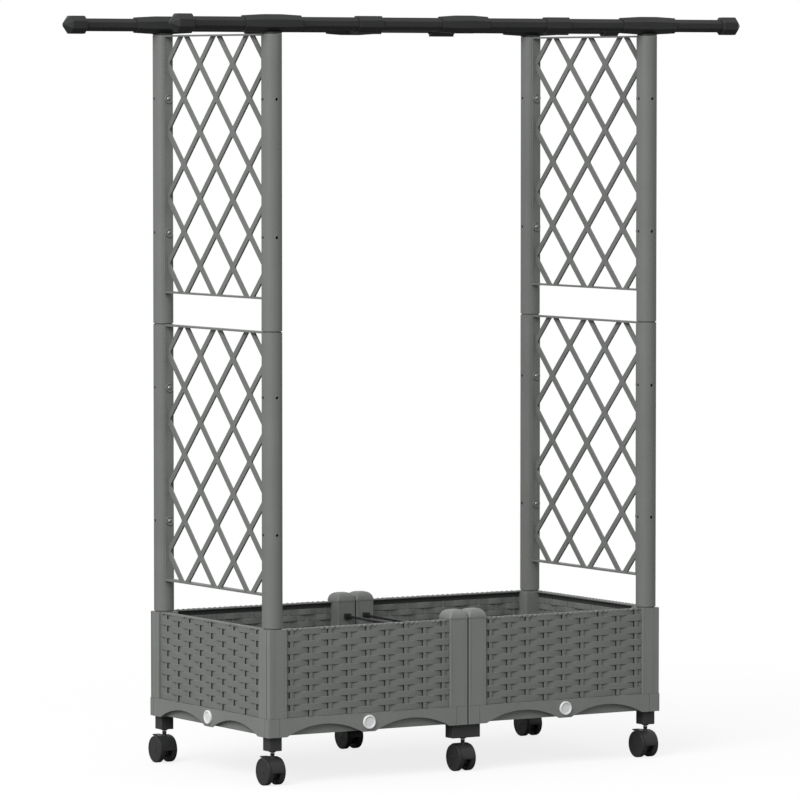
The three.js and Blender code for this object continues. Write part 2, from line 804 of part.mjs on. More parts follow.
const casterPlaces = [
  ...corners.map(({ name, x, y }) => ({ name, x: x * postX, y: y * postY, braked: true })),
  { name: 'front_middle', x: 0, y: -postY, braked: false },
  { name: 'back_middle', x: 0, y: postY, braked: false },
];
for (const { name, x, y, braked } of casterPlaces) {
  const caster = new THREE.Group();
  caster.position.set(x, y, 0);
  add(`caster_${name}_body`, geometryOf(casterBody(braked)), black, [0, 0, 0], 0, caster);
  add(`caster_${name}_wheels`, geometryOf(wheelPair), wheelBlack, axle, 0, caster);
  if (braked) {
    add(`caster_${name}_brake`, geometryOf(brakeLever()), black, [0, barrelY, barrelZ], 0, caster);
  }
  planter.add(caster);
}

export default planter;
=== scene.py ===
"""The looks of the planter with trellis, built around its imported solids.

Sizes are in millimetres while a piece is made, and its mesh is put in place in metres at the end.
"""

import math

import bmesh
import bpy
from mathutils import Matrix, Vector


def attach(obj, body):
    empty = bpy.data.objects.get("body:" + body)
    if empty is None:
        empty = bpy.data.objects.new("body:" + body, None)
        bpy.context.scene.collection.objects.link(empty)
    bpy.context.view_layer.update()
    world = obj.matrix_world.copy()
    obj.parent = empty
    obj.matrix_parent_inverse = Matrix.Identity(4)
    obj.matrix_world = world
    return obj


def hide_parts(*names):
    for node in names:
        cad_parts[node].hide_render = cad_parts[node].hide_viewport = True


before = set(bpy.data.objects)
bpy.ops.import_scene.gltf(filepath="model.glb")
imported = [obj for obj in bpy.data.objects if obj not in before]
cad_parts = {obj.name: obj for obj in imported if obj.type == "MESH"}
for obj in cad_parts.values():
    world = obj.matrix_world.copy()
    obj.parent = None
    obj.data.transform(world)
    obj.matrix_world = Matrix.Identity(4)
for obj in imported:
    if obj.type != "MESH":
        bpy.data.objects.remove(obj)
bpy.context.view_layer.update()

# --------------------------------------------------------------------
# Sizes, as the solids have them but for the wheels
# --------------------------------------------------------------------

FIT = 0.3
HALF_LENGTH, HALF_DEPTH = 415, 215
POST_X, POST_Y = 396, 196
MIDDLE_POST_X = 19.85
MODULE_X, MODULE_LENGTH = 208.25, 413.5

FOOT_BOTTOM = 61.5
TRAY_BOTTOM = 86
TRAY_TOP = 119.5
WALL_HEIGHT = 157.5
WALL_TOP = TRAY_TOP + WALL_HEIGHT
TUBE_LENGTH = 523
RAIL_LEVEL = 1341

POST_WIDTH = 38
MIDDLE_POST_WIDTH = 36.7
POST_FILLET = 3

TUBE_RADIUS = 18.25
TUBE_WALL = 2
LOW_HOLE, HIGH_HOLE = 166, 408
HOLE_DIAMETER = 5.6

TRELLIS_GAP = 57
TRELLIS_HALF = POST_Y - TUBE_RADIUS - FIT
TRELLIS_HEIGHT = TUBE_LENGTH - TRELLIS_GAP

PIPE_ACROSS = 23
SOCKET_ACROSS = 28
TEE_ACROSS = 32

WHEEL_RADIUS = 24.5
WHEEL_TRAIL = 6
CASTER_HALF = 17.2  # the solids' wheels are 0.9 narrower on each side

CORNERS = [
    ("front_left", -1, -1),
    ("front_right", 1, -1),
    ("back_right", 1, 1),
    ("back_left", -1, 1),
]
ALONG_X = Matrix.Rotation(math.pi / 2, 4, "Y")
ALONG_Y = Matrix.Rotation(-math.pi / 2, 4, "X")


def linked(name, data):
    made = bpy.data.objects.new(name, data)
    bpy.context.scene.collection.objects.link(made)
    return made


def evaluated(thing):
    """The mesh of an object after its modifiers."""
    bpy.context.view_layer.update()
    done = thing.evaluated_get(bpy.context.evaluated_depsgraph_get())
    return bpy.data.meshes.new_from_object(done)


# --------------------------------------------------------------------
# Node trees
# --------------------------------------------------------------------


class Wire:
    """An output of a node. Sums and products of wires add the nodes that work them out."""

    def __init__(self, net, node, socket):
        self.net, self.node, self.socket = net, node, socket

    def __getitem__(self, name):
        return Wire(self.net, self.node, pick(self.node.outputs, name))

    def __add__(self, other):
        return self.net.math("ADD", self, other)

    def __sub__(self, other):
        return self.net.math("SUBTRACT", self, other)

    def __rsub__(self, other):
        return self.net.math("SUBTRACT", other, self)

    def __mul__(self, other):
        return self.net.math("MULTIPLY", self, other)

    def __truediv__(self, other):
        return self.net.math("DIVIDE", self, other)

    def __pow__(self, other):
        return self.net.math("POWER", self, other)

    __radd__, __rmul__ = __add__, __mul__


def pick(sockets, key):
    if isinstance(key, int):
        return sockets[key]
    return next(s for s in sockets if s.enabled and key in (s.identifier, s.name))


class Net:
    """A node tree, its nodes added by one method and its maths written as expressions."""

    def __init__(self, tree):
        self.tree = tree

    def node(self, kind, sockets=(), **settings):
        added = self.tree.nodes.new(kind)
        for name, value in settings.items():
            setattr(added, name, value)
        for key, value in dict(sockets).items():
            target = pick(added.inputs, key)
            for one in value if isinstance(value, list) else [value]:
                if isinstance(one, Wire):
                    self.tree.links.new(one.socket, target)
                else:
                    target.default_value = one
        first = next((s for s in added.outputs if s.enabled), None)
        return Wire(self, added, first)

    def math(self, operation, *values):
        return self.node("ShaderNodeMath", enumerate(values), operation=operation)

    def vector(self, x=0.0, y=0.0, z=0.0):
        return self.node("ShaderNodeCombineXYZ", {"X": x, "Y": y, "Z": z})

    def parts(self, vector):
        split = self.node("ShaderNodeSeparateXYZ", {"Vector": vector})
        return split["X"], split["Y"], split["Z"]


class Grower(Net):
    """A geometry tree with named inputs, which ends in realized pieces of one or two materials."""

    KINDS = {float: "NodeSocketFloat", int: "NodeSocketInt"}

    def __init__(self, name, looks=("Look",), **sizes):
        super().__init__(bpy.data.node_groups.new(name, "GeometryNodeTree"))
        self.looks = looks
        face = self.tree.interface
        face.new_socket("Geometry", in_out="OUTPUT", socket_type="NodeSocketGeometry")
        for label, value in sizes.items():
            socket = face.new_socket(label, in_out="INPUT", socket_type=self.KINDS[type(value)])
            socket.default_value = value
        for label in looks:
            face.new_socket(label, in_out="INPUT", socket_type="NodeSocketMaterial")
        self.entry = self.node("NodeGroupInput")

    def __getitem__(self, name):
        return self.entry[name]

    def join(self, *shapes):
        return self.node("GeometryNodeJoinGeometry", {"Geometry": list(reversed(shapes))})

    def place(self, shape, offset=(0, 0, 0), turn=(0, 0, 0)):
        return self.node(
            "GeometryNodeTransform", {"Geometry": shape, "Translation": offset, "Rotation": turn}
        )

    def repeat(self, shape, count, start, step):
        """Copies of a shape on a line."""
        sockets = {"Count": count, "Start Location": start, "Offset": step}
        line = self.node("GeometryNodeMeshLine", sockets)
        return self.node("GeometryNodeInstanceOnPoints", {"Points": line, "Instance": shape})

    def bar(self, start, end, steps, profile):
        """A bar swept along a straight line in a number of steps, with closed ends."""
        line = self.node("GeometryNodeCurvePrimitiveLine", {"Start": start, "End": end})
        line = self.node("GeometryNodeResampleCurve", {"Curve": line, "Count": steps + 1})
        return self.node(
            "GeometryNodeCurveToMesh", {"Curve": line, "Profile Curve": profile, "Fill Caps": True}
        )

    def slab(self, width, height, radius, steps=3):
        """A rounded rectangle to sweep."""
        sockets = {"Width": width, "Height": height}
        outline = self.node("GeometryNodeCurvePrimitiveQuadrilateral", sockets)
        return self.node(
            "GeometryNodeFilletCurve",
            {"Curve": outline, "Radius": radius, "Count": steps, "Limit Radius": True},
            mode="POLY",
        )

    def box(self, size):
        return self.node("GeometryNodeMeshCube", {"Size": size})

    def boolean(self, operation, *shapes):
        sockets = {"Mesh 2": list(shapes), "Self Intersection": True}
        if operation == "DIFFERENCE":
            sockets = {"Mesh 1": shapes[0], "Mesh 2": list(shapes[1:]), "Self Intersection": True}
        return self.node("GeometryNodeMeshBoolean", sockets, operation=operation, solver="EXACT")

    def end(self, shape, chosen=None):
        """The faces that are chosen take the second material."""
        shape = self.node("GeometryNodeRealizeInstances", {"Geometry": shape})
        for label, faces in zip(self.looks, (True, chosen)):
            sockets = {"Geometry": shape, "Material": self[label], "Selection": faces}
            shape = self.node("GeometryNodeSetMaterial", sockets)
        self.node("NodeGroupOutput", {"Geometry": shape})

    def grow(self, *looks, **sizes):
        """The mesh that the tree makes of these sizes, its faces numbered by material."""
        seed = linked("seed", bpy.data.meshes.new("seed"))
        modifier = seed.modifiers.new("grow", "NODES")
        modifier.node_group = self.tree
        given = {**sizes, **dict(zip(self.looks, looks))}
        for socket in self.tree.interface.items_tree:
            if socket.in_out == "INPUT" and socket.name in given:
                modifier[socket.identifier] = given[socket.name]
        mesh = evaluated(seed)
        bpy.data.objects.remove(seed)
        slots = [mesh.materials.find(look.name) for look in looks]
        for face in mesh.polygons:
            face.material_index = slots.index(face.material_index)
        return mesh


# --------------------------------------------------------------------
# Finishes
# --------------------------------------------------------------------


def cleared(owner):
    """The emptied node tree of a material or world."""
    owner.use_nodes = True
    owner.node_tree.nodes.clear()
    return Net(owner.node_tree)



CLOUD_SCALE, GRAIN_SCALE = (14, 14, 14), (1700, 1700, 1700)  # noise, in counts per metre
TOOL_SCALE = (90, 90, 2600)


def moulded(
    name,
    dark,
    light,
    roughness,
    streaks,
    streak_share=0.5,
    grain=0.00006,
    streak_depth=0.00012,
    gloss=0.3,
):
    """Satin moulded plastic with a fine grain and faint flow streaks.

    The streaks are noise, and their scale along X, Y and Z is a count per metre.
    """
    look = bpy.data.materials.new(name)
    net = cleared(look)
    place = net.node("ShaderNodeTexCoord")["Object"]

    def noise(scale, detail):
        spot = net.node("ShaderNodeVectorMath", {0: place, 1: scale}, operation="MULTIPLY")
        sockets = {"Vector": spot, "Scale": 1.0, "Detail": detail}
        return net.node("ShaderNodeTexNoise", sockets)["Fac"]

    clouds = noise(CLOUD_SCALE, 3.0)
    lines = noise(streaks, 2.0)
    fine = noise(GRAIN_SCALE, 1.0)
    shade = lines * streak_share + clouds * (1 - streak_share)
    shade = net.node("ShaderNodeMapRange", {"Value": shade, "From Min": 0.3, "From Max": 0.7})
    base = net.node(
        "ShaderNodeMix", {"Factor": shade, "A": (*dark, 1), "B": (*light, 1)}, data_type="RGBA"
    )
    rough = roughness + (fine - 0.5) * 0.08 + (clouds - 0.5) * 0.1
    height = fine * grain + lines * streak_depth
    bump = net.node("ShaderNodeBump", {"Height": height * 1000, "Strength": 0.6, "Distance": 0.001})
    shader = net.node(
        "ShaderNodeBsdfPrincipled",
        {"Base Color": base, "Roughness": rough, "Normal": bump, "Specular IOR Level": gloss},
    )
    net.node("ShaderNodeOutputMaterial", {"Surface": shader})
    return look


GREY_DARK, GREY_LIGHT = (0.135, 0.142, 0.135), (0.158, 0.166, 0.158)
# A lighter copy of the same grey, painted light that makes up for the light the posts', caps' and
# trays' flat faces get less of than the round tubes
GREY_LIT_DARK, GREY_LIT_LIGHT = (0.160, 0.168, 0.160), (0.184, 0.193, 0.184)
BLACK_DARK, BLACK_LIGHT = (0.022, 0.0225, 0.023), (0.030, 0.0305, 0.031)
UPRIGHT, LEVEL_X, LEVEL_Y = (900, 900, 9), (9, 900, 900), (900, 9, 900)

FOOT_DARK, FOOT_LIGHT = (0.032, 0.0325, 0.033), (0.042, 0.0425, 0.043)
# Near-black painted shade for the weave's sideways faces (mostly the stakes' sides), the boxes
# beside the stakes and the core sheet between the weave's two faces
PAINTED_SHADE_DARK, PAINTED_SHADE_LIGHT = (0.022, 0.023, 0.022), (0.03, 0.031, 0.03)
PLUG_DARK, PLUG_LIGHT = (0.62, 0.63, 0.63), (0.71, 0.72, 0.72)
ROD_DARK, ROD_LIGHT = (0.012, 0.012, 0.013), (0.02, 0.02, 0.021)


def even(count):
    return (count, count, count)


# post_grey and tray_grey use the lighter copy of the grey, painted light
post_grey = moulded("post_grey", GREY_LIT_DARK, GREY_LIT_LIGHT, 0.5, UPRIGHT)
tube_grey = moulded("tube_grey", GREY_DARK, GREY_LIGHT, 0.5, UPRIGHT)
tray_grey = moulded("tray_grey", GREY_LIT_DARK, GREY_LIT_LIGHT, 0.52, even(60), 0.3, streak_depth=0.0)
strand_grey = moulded(
    "strand_grey", GREY_DARK, GREY_LIGHT, 0.55, (12, 12, 1300), 0.6, streak_depth=0.0002
)
painted_shade_grey = moulded("painted_shade_grey", PAINTED_SHADE_DARK, PAINTED_SHADE_LIGHT, 0.7, even(40), 0.3)
trellis_grey = moulded(
    "trellis_grey", GREY_DARK, GREY_LIGHT, 0.52, even(40), 0.3, streak_depth=0.0
)
rail_black = moulded("rail_black", BLACK_DARK, BLACK_LIGHT, 0.42, LEVEL_X, gloss=0.15)
cross_black = moulded("cross_black", BLACK_DARK, BLACK_LIGHT, 0.42, LEVEL_Y, gloss=0.15)
foot_black = moulded("foot_black", FOOT_DARK, FOOT_LIGHT, 0.45, UPRIGHT, gloss=0.15)
caster_black = moulded("caster_black", BLACK_DARK, BLACK_LIGHT, 0.4, even(70), 0.3, gloss=0.2)
wheel_black = moulded("wheel_black", BLACK_DARK, BLACK_LIGHT, 0.46, even(90), 0.3, gloss=0.2)
plug_white = moulded("plug_white", PLUG_DARK, PLUG_LIGHT, 0.36, even(80), 0.3, 0.00002)
rod_black = moulded("rod_black", ROD_DARK, ROD_LIGHT, 0.38, LEVEL_Y)


def steel(name, tone, roughness):
    """Turned or zinc-plated steel with fine rings of tool marks."""
    look = bpy.data.materials.new(name)
    net = cleared(look)
    place = net.node("ShaderNodeTexCoord")["Object"]
    spot = net.node("ShaderNodeVectorMath", {0: place, 1: TOOL_SCALE}, operation="MULTIPLY")
    lines = net.node("ShaderNodeTexNoise", {"Vector": spot, "Scale": 1.0, "Detail": 2.0})["Fac"]
    dark = tuple(0.82 * c for c in tone)
    base = net.node(
        "ShaderNodeMix", {"Factor": lines, "A": (*dark, 1), "B": (*tone, 1)}, data_type="RGBA"
    )
    shader = net.node(
        "ShaderNodeBsdfPrincipled",
        {"Base Color": base, "Metallic": 1.0, "Roughness": roughness + (lines - 0.5) * 0.15},
    )
    net.node("ShaderNodeOutputMaterial", {"Surface": shader})
    return look


bright_steel = steel("bright_steel", (0.62, 0.62, 0.61), 0.34)
screw_steel = steel("screw_steel", (0.36, 0.36, 0.35), 0.42)

# --------------------------------------------------------------------
# Mesh making
# --------------------------------------------------------------------


def at(x, y, z, turn=0.0):
    return Matrix.Translation((x, y, z)) @ Matrix.Rotation(turn, 4, "Z")


def mesh_from(bm):
    bmesh.ops.recalc_face_normals(bm, faces=bm.faces)
    mesh = bpy.data.meshes.new("shape")
    bm.to_mesh(mesh)
    bm.free()
    return mesh


def opened(mesh):
    bm = bmesh.new()
    bm.from_mesh(mesh)
    return bm


def loft(rings):
    """A closed skin over rings of points, capped at both ends."""
    bm = bmesh.new()
    loops = [[bm.verts.new(point) for point in ring] for ring in rings]
    for low, high in zip(loops, loops[1:]):
        for i in range(len(low)):
            j = (i + 1) % len(low)
            bm.faces.new((low[i], low[j], high[j], high[i]))
    bm.faces.new(loops[0])
    bm.faces.new(loops[-1])
    return mesh_from(bm)


def prism(outline, z0, z1):
    return loft([[(x, y, z) for x, y in outline] for z in (z0, z1)])


def lathe(outline, sides=48, start=0.0):
    """Rings of [radius, height] round the Z axis."""
    angles = [start + math.tau * i / sides for i in range(sides)]
    return loft([[(r * math.cos(a), r * math.sin(a), z) for a in angles] for r, z in outline])


def octagonal(outline):
    """The same with eight flats, a given width across them."""
    reach = 0.5 / math.cos(math.pi / 8)
    return lathe([(across * reach, z) for across, z in outline], 8, math.pi / 8)


def box(x, y, z):
    return prism([(x[0], y[0]), (x[1], y[0]), (x[1], y[1]), (x[0], y[1])], *z)


def rounded(corners, steps=6):
    """An outline through (x, y, radius) corners, counter-clockwise."""
    points = []
    befores, afters = corners[-1:] + corners[:-1], corners[1:] + corners[:1]
    for before, here, after in zip(befores, corners, afters):
        corner, radius = Vector(here[:2]), here[2]
        back, on = (Vector(p[:2]) - corner for p in (before, after))
        half = back.angle(on) / 2
        middle = (back.normalized() + on.normalized()).normalized()
        centre = corner + middle * radius / math.sin(half)
        legs = (back.normalized() * radius, on.normalized() * radius)
        start, end = (corner + leg / math.tan(half) - centre for leg in legs)
        spokes = [start.lerp(end, i / steps).normalized() for i in range(steps + 1)]
        points += [centre + spoke * radius for spoke in spokes]
    return [tuple(p) for p in points]


def rounded_box(width, depth, radius, steps=6):
    x, y = width / 2, depth / 2
    return rounded([(-x, -y, radius), (x, -y, radius), (x, y, radius), (-x, y, radius)], steps)


def arc(centre, radius, first, last, steps):
    turns = [math.radians(first + (last - first) * i / steps) for i in range(steps + 1)]
    return [(centre[0] + radius * math.cos(a), centre[1] + radius * math.sin(a)) for a in turns]


def moved(mesh, matrix):
    copy = mesh.copy()
    copy.transform(matrix)
    return copy


def joined(*meshes):
    bm = bmesh.new()
    for mesh in meshes:
        bm.from_mesh(mesh)
    return mesh_from(bm)


def carved(mesh, tools, operation="DIFFERENCE"):
    """A mesh cut by, or joined with, each of the tools."""
    body = linked("body", mesh)
    helpers = []
    for tool in tools:
        helper = linked("tool", tool)
        modifier = body.modifiers.new("carve", "BOOLEAN")
        modifier.operation, modifier.object, modifier.solver = operation, helper, "EXACT"
        helpers.append(helper)
    made = evaluated(body)
    for helper in [*helpers, body]:
        bpy.data.objects.remove(helper)
    return made


def eased(mesh, width, least=32):
    """A mesh whose edges sharper than an angle are rounded off."""
    bm = opened(mesh)
    bmesh.ops.remove_doubles(bm, verts=bm.verts, dist=0.002)
    bmesh.ops.dissolve_limit(bm, angle_limit=math.radians(0.5), verts=bm.verts, edges=bm.edges)
    least = math.radians(least)
    edges = [e for e in bm.edges if e.is_manifold and e.calc_face_angle(0) > least]
    bmesh.ops.bevel(
        bm, geom=edges, offset=width, segments=2, profile=0.5, affect="EDGES", clamp_overlap=True
    )
    return mesh_from(bm)


def piece(name, mesh, looks, body, nodes=(), place=Matrix()):
    """Puts a finished mesh in its place, in metres, on the body that it moves with.

    It has one material, or a list of them in the order of its faces' numbers. Its normals are
    weighed by the faces' areas, so that flats stay flat beside rounded edges.
    """
    mesh = mesh.copy()
    mesh.transform(Matrix.Scale(0.001, 4) @ place)
    for look in looks if isinstance(looks, list) else [looks]:
        mesh.materials.append(look)
    mesh.shade_smooth()
    mesh.set_sharp_from_angle(angle=math.radians(50))
    made = linked(name, mesh)
    made.modifiers.new("weigh", "WEIGHTED_NORMAL").keep_sharp = True
    made.data = evaluated(made)
    made.modifiers.clear()
    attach(made, body)
    if nodes:
        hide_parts(*nodes)
    return made


def grey(name, mesh, looks, place, node):
    return piece(name, mesh, looks, "planter", [node], place)


def black(name, mesh, look, place, node):
    return piece(name, mesh, look, "planter", [node], place)


# --------------------------------------------------------------------
# Trays
# --------------------------------------------------------------------

SKIRT_WALL = 2.5
PAN_SETBACK, PAN_WALL, PAN_FLOOR, PAN_LIFT = 8, 2.5, 3, 2
ARCH_RISE, LOBE_WIDTH = 19.5, 26
PLUG_HEIGHT = 17
SKIRT_HEIGHT = 33.2
BLOCK_INSET = 0.4
SEAM_FROM_END, SEAM_FROM_SIDE_END = 23, 12.5
SEAM = 0.9
PAST = 1  # how far a cutting shape stands out


def arch(side_length, sign):
    inner, outer = LOBE_WIDTH / 2, side_length / 2 - POST_WIDTH
    chord = outer - inner
    radius = chord * chord / (8 * ARCH_RISE) + ARCH_RISE / 2
    half = math.degrees(math.asin(chord / 2 / radius))
    centre = (sign * (inner + outer) / 2, ARCH_RISE - radius)
    curve = arc(centre, radius, 90 - half, 90 + half, 28)
    return [(curve[0][0], -PAST), *curve, (curve[-1][0], -PAST)]


def tray(side):
    """A module's tray about its own middle: skirt, arches, pan and corner blocks."""
    hx, hy, height = MODULE_LENGTH / 2, HALF_DEPTH, SKIRT_HEIGHT

    def outline(inset, fillet, least):
        x, y = hx - inset, hy - inset
        left, right = (fillet, least) if side < 0 else (least, fillet)
        return rounded([(-x, -y, left), (x, -y, right), (x, y, right), (-x, y, left)])

    def upright(points, x0, x1, turn):
        """A shape in the XZ plane pushed along Y, then turned about Z."""
        pushed = loft([[(x, y, z) for x, z in points] for y in (x0, x1)])
        return moved(pushed, Matrix.Rotation(math.radians(turn), 4, "Z"))

    body = prism(outline(0, POST_FILLET, 0.8), 0, height)
    tools = [prism(outline(SKIRT_WALL, 4, 0.8), -PAST, height - PAN_WALL)]
    for sign in (-1, 1):
        for turn in (0, 180):
            tools.append(upright(arch(2 * hx, sign), -hy - PAST, SKIRT_WALL + PAST - hy, turn))
        tools.append(upright(arch(2 * hy, sign), -hx - PAST, SKIRT_WALL + PAST - hx, 90 * side))
    body = carved(body, tools)
    blocks = []
    for x in (-1, 1):
        width = POST_WIDTH if x == side else MIDDLE_POST_WIDTH
        for y in (-1, 1):
            ends = sorted((x * (hx - BLOCK_INSET), x * (hx - width)))
            sides = sorted((y * (hy - BLOCK_INSET), y * (hy - POST_WIDTH)))
            blocks.append(box(ends, sides, (0, height - 1)))
    pan = prism(outline(PAN_SETBACK, 3, 3), PAN_LIFT, height - 0.01)
    body = carved(body, [pan, *blocks], "UNION")
    hollow = prism(outline(PAN_SETBACK + PAN_WALL, 2, 2), PAN_LIFT + PAN_FLOOR, height + PAST)
    seams = []
    levels = (-PAST, height + PAST)
    for x in (hx - SEAM_FROM_END, SEAM_FROM_END - hx):
        for y in (-hy, hy):
            seams.append(box((x - SEAM / 2, x + SEAM / 2), (y - SEAM, y + SEAM), levels))
    for y in (hy - SEAM_FROM_SIDE_END, SEAM_FROM_SIDE_END - hy):
        x = side * hx
        seams.append(box((x - SEAM, x + SEAM), (y - SEAM / 2, y + SEAM / 2), levels))
    return carved(body, [hollow, *seams])


PLUG_RADIUS, PLUG_HEAD = 12.75, 3.2
PLUG_OUTLINE = [
    (8.2, -1.9),
    (8.8, -2.0),
    (9.4, -2.9),
    (9.9, -PLUG_HEAD),
    (11.4, -PLUG_HEAD),
    (12.3, -2.8),
    (PLUG_RADIUS, -1.9),
    (PLUG_RADIUS, 0),
    (6.5, 0),
    (6.5, 8),
]
plug = lathe(PLUG_OUTLINE, 64)

for side, name in ((-1, "left"), (1, "right")):
    place = at(side * MODULE_X, 0, TRAY_BOTTOM)
    grey(f"base_tray_{name}", eased(tray(side), 0.45), tray_grey, place, f"tray_{name}")
    z = TRAY_BOTTOM + PLUG_HEIGHT
    for where, x, y, turn in (
        ("front", side * MODULE_X, -HALF_DEPTH, 0),
        ("back", side * MODULE_X, HALF_DEPTH, math.pi),
        ("side", side * (MODULE_X + MODULE_LENGTH / 2), 0, math.pi / 2 * side),
    ):
        place = at(x, y, z, turn) @ ALONG_Y
        piece(f"drain_plug_{where}_{name}", plug, plug_white, "planter", place=place)

# --------------------------------------------------------------------
# Posts
# --------------------------------------------------------------------

FINE_LINE, DEEP_LINE = (0.9, 0.5), (2.1, 4.5)  # widths and depths of grooves
CORNER_FRONT_LINES = [(13, FINE_LINE), (33, FINE_LINE)]
CORNER_LEFT_LINES = [(16, FINE_LINE), (31.3, DEEP_LINE)]
MIDDLE_LINES = [(5, FINE_LINE), (MIDDLE_POST_WIDTH - 5, FINE_LINE)]
REBATE_WIDTH, REBATE_DEPTH = 4.7, 8.5
CAP_OVERLAP = 1.4
DOME_FOOT, DOME_RISE, DOME_LEVELS = 4.2, 12.2, 10
DOME_TOP_SHARE, DOME_SPREAD = 0.34, 0.645


def notched(start, end, inward, lines):
    """Points along a straight face, with each groove at a distance from its start."""
    start, end, inward = Vector(start), Vector(end), Vector(inward)
    along = (end - start).normalized()
    points = []
    for place, (width, depth) in lines:
        middle = start + along * place
        for offset, share in ((-1, 0), (-0.5, 1), (0.5, 1), (1, 0)):
            points.append(middle + along * (offset * width / 2) + inward * (share * depth))
    return [tuple(p) for p in points]


def corner_post():
    """The rounded outer corner is at -X, -Y. The side panel's weave laps over a rebate at +Y."""
    half = POST_WIDTH / 2
    rebate = (REBATE_DEPTH - half, half - REBATE_WIDTH)
    corners = [
        (-half, -half, POST_FILLET),
        (half, -half, 0.8),
        (half, half, 0.8),
        (rebate[0], half, 0.5),
    ]
    steps = 8
    corner = rounded(corners, steps)
    front = notched((-half, -half), (half, -half), (0, 1), CORNER_FRONT_LINES)
    left = notched((-half, half), (-half, -half), (1, 0), CORNER_LEFT_LINES)
    first, rest = corner[: steps + 1], corner[steps + 1 :]
    points = first + front + rest + [rebate, (-half, rebate[1])] + left
    return prism(points, 0, WALL_HEIGHT - FIT)


def middle_post():
    half, depth = MIDDLE_POST_WIDTH / 2, POST_WIDTH / 2
    corner = rounded_box(2 * half, 2 * depth, 1, 4)
    front = notched((-half, -depth), (half, -depth), (0, 1), MIDDLE_LINES)
    back = notched((half, depth), (-half, depth), (0, -1), MIDDLE_LINES)
    points = corner[:5] + front + corner[5:15] + back + corner[15:]
    return prism(points, 0, WALL_HEIGHT)


def post_cap():
    """A pillow dome over a shallow skirt."""
    width, depth = MIDDLE_POST_WIDTH + CAP_OVERLAP, POST_WIDTH + CAP_OVERLAP
    levels = [(0.985, 0.0, 2), (1, 0.5, 2), (1, 3.6, 2.2), (0.985, DOME_FOOT, 3)]
    for i in range(1, DOME_LEVELS + 1):
        a = math.pi / 2 * i / DOME_LEVELS
        share = DOME_TOP_SHARE + DOME_SPREAD * math.cos(a) ** 0.9
        levels.append((share, DOME_FOOT + DOME_RISE * math.sin(a), 3 + 3 * math.sin(a)))
    rings = []
    for share, z, radius in levels:
        outline = rounded_box(width * share, depth * share, min(radius, width * share / 2.2))
        rings.append([(x, y, z) for x, y in outline])
    return loft(rings)


corner_post_mesh, middle_post_mesh, cap_mesh = corner_post(), middle_post(), post_cap()
for name, x, y in CORNERS:
    mirrored = joined(moved(corner_post_mesh, Matrix.Diagonal((-x, -y, 1, 1))))
    place = at(x * POST_X, y * POST_Y, TRAY_TOP)
    grey(f"post_corner_{name}", mirrored, post_grey, place, f"corner_post_{name}")
    place = at(x * MIDDLE_POST_X, y * POST_Y, TRAY_TOP)
    grey(f"post_middle_{name}", middle_post_mesh, post_grey, place, f"middle_post_{name}")
    place = at(x * MIDDLE_POST_X, y * POST_Y, WALL_TOP)
    piece(f"post_cap_{name}", cap_mesh, tray_grey, "planter", place=place)

# --------------------------------------------------------------------
# Woven panels
# --------------------------------------------------------------------

CREST = 3  # the weave's crests behind the posts' outer faces
CORE_FRONT, CORE_BACK = 6.8, 11  # the sheet between the two faces, coloured near-black as painted shade
RELIEF = 3.1
STAKES, STAKE_WIDTH = 9, 7.4
SLOT_WIDTH, NARROW_SLOT = 1.5, 0.6  # widths of the near-black painted-shade boxes on either side of a stake
SLOT_RISE, SLOT_OVERLAP = 0.15, 0.5
CORD_SETBACK, CORD_DROP = 1.75, 1.5
INNER_CREST = 14.6
TONGUE = 4.5
LIP_HEIGHT, LIP_FRONT, LIP_BACK = 2.6, CREST + 1.2, 16
ROWS = 14
ROW_PITCH = (WALL_HEIGHT - 2 * FIT) / ROWS
STAKE_PITCH, SIDE_STAKE_PITCH = 39.4, 40.4  # the solids have 38.9 for both
LONG_PANEL, SIDE_PANEL = 338.8, 354
LONG_PANEL_X = 207.6


